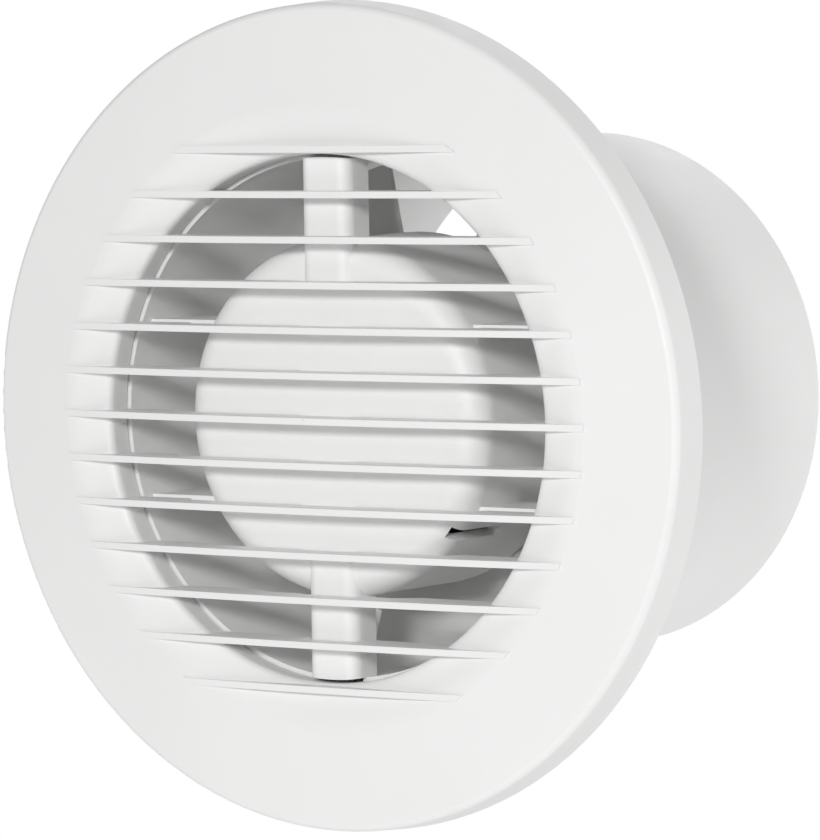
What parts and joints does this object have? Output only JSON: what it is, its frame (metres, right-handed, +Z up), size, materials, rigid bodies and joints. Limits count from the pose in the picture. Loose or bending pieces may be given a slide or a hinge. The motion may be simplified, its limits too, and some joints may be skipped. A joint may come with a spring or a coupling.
{
  "type": "extractor fan",
  "caption": "Round bathroom extractor fan with a slatted domed front, a motor pod and a spigot for a round duct.",
  "frame": {"origin": "on the fan axis, in the plane of the wall that the flange rests on", "axes": "+Y along the duct, away from the room; +Z up; +X to the right as seen from the room"},
  "size_m": [0.15, 0.0976, 0.15],
  "materials": {
    "fascia_white": "satin",
    "housing_white": "satin",
    "impeller_white": "matte",
    "spring_steel": "satin",
    "bright_steel": "ground",
    "silicon_steel": "stacked laminations",
    "cast_aluminium": "as cast",
    "red_fibre": "matte",
    "sintered_bronze": "porous",
    "oiled_felt": "oiled",
    "zinc_steel": "zinc plated",
    "bare_copper": "bare",
    "bobbin_nylon": "matte",
    "enamelled_copper": "enamelled",
    "yellow_tape": "satin",
    "fuse_case": "satin",
    "brown_pvc": "satin",
    "blue_pvc": "satin",
    "white_pvc": "satin",
    "terminal_grey": "matte",
    "plain_brass": "turned",
    "black_rubber": "matte"
  },
  "bodies": {
    "housing": {"fan_housing": "housing_white", "motor_carrier": "housing_white", "lead_channel_cover": "housing_white", "front_bearing": "sintered_bronze", "rear_bearing": "sintered_bronze", "oil_felts": "oiled_felt", "bearing_caps": "spring_steel", "front_bracket": "zinc_steel", "rear_bracket": "zinc_steel", "stator_laminations": "silicon_steel", "shading_rings": "bare_copper", "upper_bobbin": "bobbin_nylon", "lower_bobbin": "bobbin_nylon", "upper_winding": "enamelled_copper", "lower_winding": "enamelled_copper", "winding_wraps": "yellow_tape", "thermal_fuse": "fuse_case", "motor_screws": "zinc_steel", "live_lead": "brown_pvc", "neutral_lead": "blue_pvc", "coil_link_lead": "white_pvc", "terminal_block": "terminal_grey", "terminal_clamps": "plain_brass", "terminal_screws": "zinc_steel", "cable_clamp_bar": "terminal_grey", "cable_clamp_screws": "zinc_steel", "cable_grommet": "black_rubber"},
    "rotor": {"impeller": "impeller_white", "impeller_retainer": "spring_steel", "rotor_shaft": "bright_steel", "rotor_laminations": "silicon_steel", "rotor_cage": "cast_aluminium", "thrust_washers": "red_fibre"},
    "grille": {"front_grille": "fascia_white"}
  },
  "joints": [
    {"name": "impeller_spin", "type": "hinge", "parent": "housing", "child": "rotor", "pos_m": [0, 0.0115, 0], "axis": [0, 1, 0], "continuous": true},
    {"name": "grille_pull", "type": "slide", "parent": "housing", "child": "grille", "axis": [0, -1, 0], "range_m": [0, 0.04]}
  ]
}
